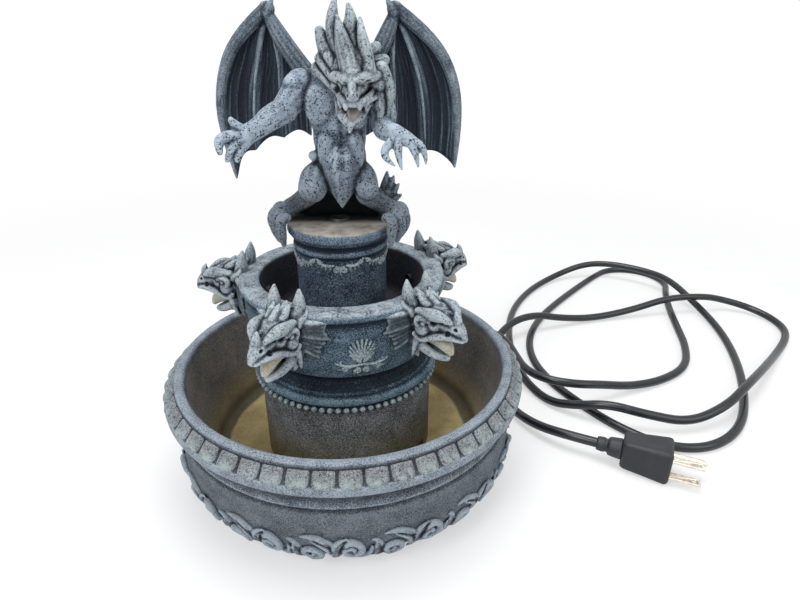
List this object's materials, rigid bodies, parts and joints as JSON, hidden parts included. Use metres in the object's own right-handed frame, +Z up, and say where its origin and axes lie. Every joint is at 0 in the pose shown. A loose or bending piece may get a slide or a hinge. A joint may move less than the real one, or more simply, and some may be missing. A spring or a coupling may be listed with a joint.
{
  "type": "tabletop water fountain",
  "caption": "Cast-stone tabletop fountain: round basin with a tongue border, pedestal with dragon-head spout bowl, column and a crouching winged dragon, pump and mains lead.",
  "frame": {"origin": "on the table under the basin's axis", "axes": "+Z up, -Y towards the front of the crouching dragon, +X to the viewer's right"},
  "size_m": [0.5093, 0.4236, 0.276],
  "materials": {
    "stone_basin": "cast resin stone, blue-black wash dry-brushed grey",
    "stone_drum": "cast resin stone, stained by hard water",
    "stone_bowl": "cast resin stone, dark navy wash with pale specks",
    "stone_column": "cast resin stone, grey with a beige top",
    "stone_heads": "cast resin stone, pale grey dry-brush over dark recesses",
    "stone_figure": "cast resin stone, pale grey-blue dry-brush over black wash",
    "stone_wings": "cast resin stone, blue-black webs with pale ribs",
    "rubber": "matt black",
    "pump_plastic": "satin black",
    "white_plastic": "satin",
    "magnet": "sealed ferrite",
    "ceramic_shaft": "ground",
    "clear_hose": "milky clear vinyl",
    "spout_plastic": "dark plastic",
    "cord_jacket": "glossy black vinyl",
    "plug_plastic": "matt black vinyl",
    "brass": "bright, slightly rubbed"
  },
  "bodies": {
    "base": {"basin": "stone_basin", "foot_pads": "rubber", "cord_grommet": "rubber", "pump_housing": "pump_plastic", "pump_volute": "pump_plastic", "pump_seal": "rubber", "rotor_shaft": "ceramic_shaft", "shaft_bushes": "rubber", "suction_cups": "rubber", "pump_gland": "rubber", "hose_barb": "pump_plastic", "riser_hose": "clear_hose", "pump_lead": "cord_jacket", "power_cord": "cord_jacket", "plug_relief": "plug_plastic", "plug_body": "plug_plastic", "plug_blades": "brass", "plug_earth_pin": "brass"},
    "tower": {"pedestal_drum": "stone_drum", "upper_bowl": "stone_bowl", "upper_column": "stone_column", "spout_tubes": "spout_plastic", "outlet_nozzle": "spout_plastic", "dragon_head_1": "stone_heads", "dragon_head_2": "stone_heads", "dragon_head_3": "stone_heads", "dragon_head_4": "stone_heads", "dragon_head_5": "stone_heads", "figure_torso": "stone_figure", "figure_head": "stone_figure", "figure_leg_left": "stone_figure", "figure_leg_right": "stone_figure", "figure_arm_left": "stone_figure", "figure_arm_right": "stone_figure", "figure_wing_left": "stone_wings", "figure_wing_right": "stone_wings", "figure_tail": "stone_figure"},
    "strainer": {"pump_strainer": "pump_plastic"},
    "flow_knob": {"flow_knob": "pump_plastic"},
    "rotor": {"impeller": "white_plastic", "rotor_magnet": "magnet"}
  },
  "joints": [
    {"name": "tower_lift", "type": "slide", "parent": "base", "child": "tower", "axis": [0, 0, 1], "range_m": [0, 0.165]},
    {"name": "strainer_pull", "type": "slide", "parent": "base", "child": "strainer", "axis": [-0.4695, -0.8829, 0], "range_m": [0, 0.012]},
    {"name": "flow_turn", "type": "hinge", "parent": "strainer", "child": "flow_knob", "pos_m": [-0.01221, -0.02296, 0.04], "axis": [0.4695, 0.8829, 0], "range_deg": [-45, 45]},
    {"name": "rotor_spin", "type": "hinge", "parent": "base", "child": "rotor", "pos_m": [0, 0, 0.04], "axis": [0.4695, 0.8829, 0], "continuous": true}
  ]
}
